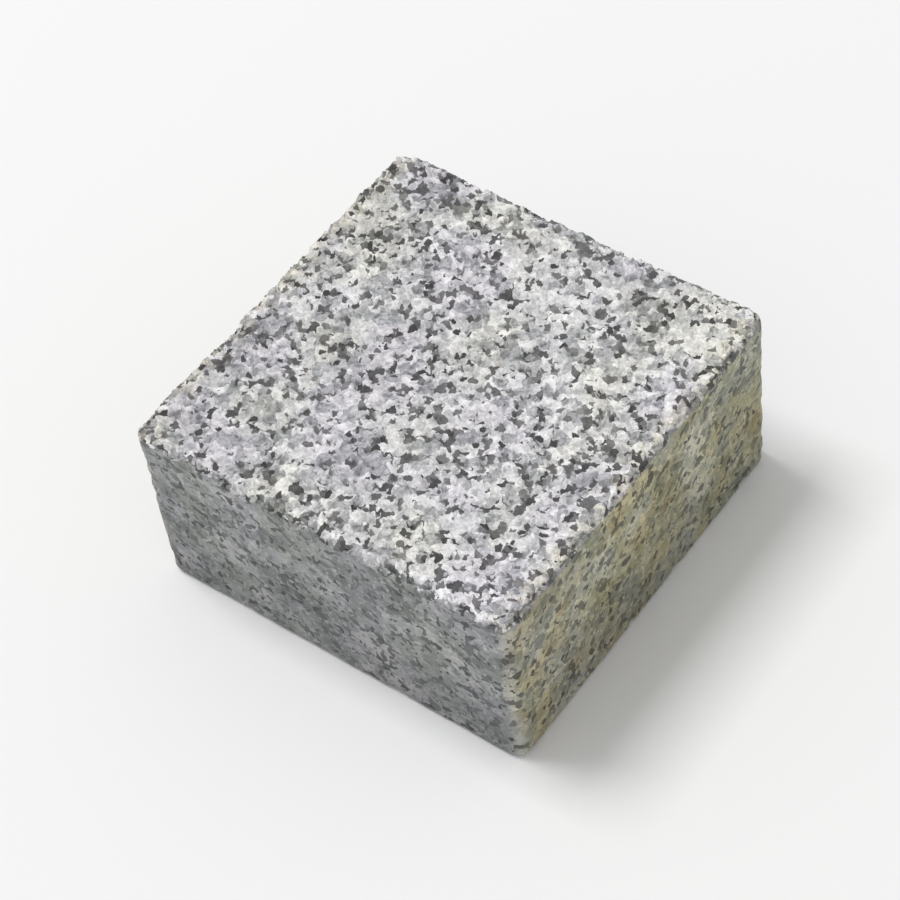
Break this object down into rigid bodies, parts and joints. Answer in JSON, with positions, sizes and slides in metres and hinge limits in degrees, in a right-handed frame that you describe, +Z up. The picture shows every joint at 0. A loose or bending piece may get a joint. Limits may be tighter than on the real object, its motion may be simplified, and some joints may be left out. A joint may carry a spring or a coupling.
{
  "type": "granite sett",
  "caption": "Square grey granite paving sett: a sawn block with a rough flamed walking face, worn rounded arrises and flat sawn joint faces, laid in sand or mortar.",
  "frame": {"origin": "middle of the bed face, on the floor that the sett lies on", "axes": "+Z up, from the bed face to the walking face; +X from the left joint face to the right one; +Y from the front joint face to the back one"},
  "size_m": [0.1, 0.1, 0.05],
  "materials": {
    "granite": "speckled grey granite, flamed and rough on the walking face, sawn matt on the joint faces and the bed"
  },
  "bodies": {
    "root": {"granite_sett": "granite"}
  },
  "joints": []
}
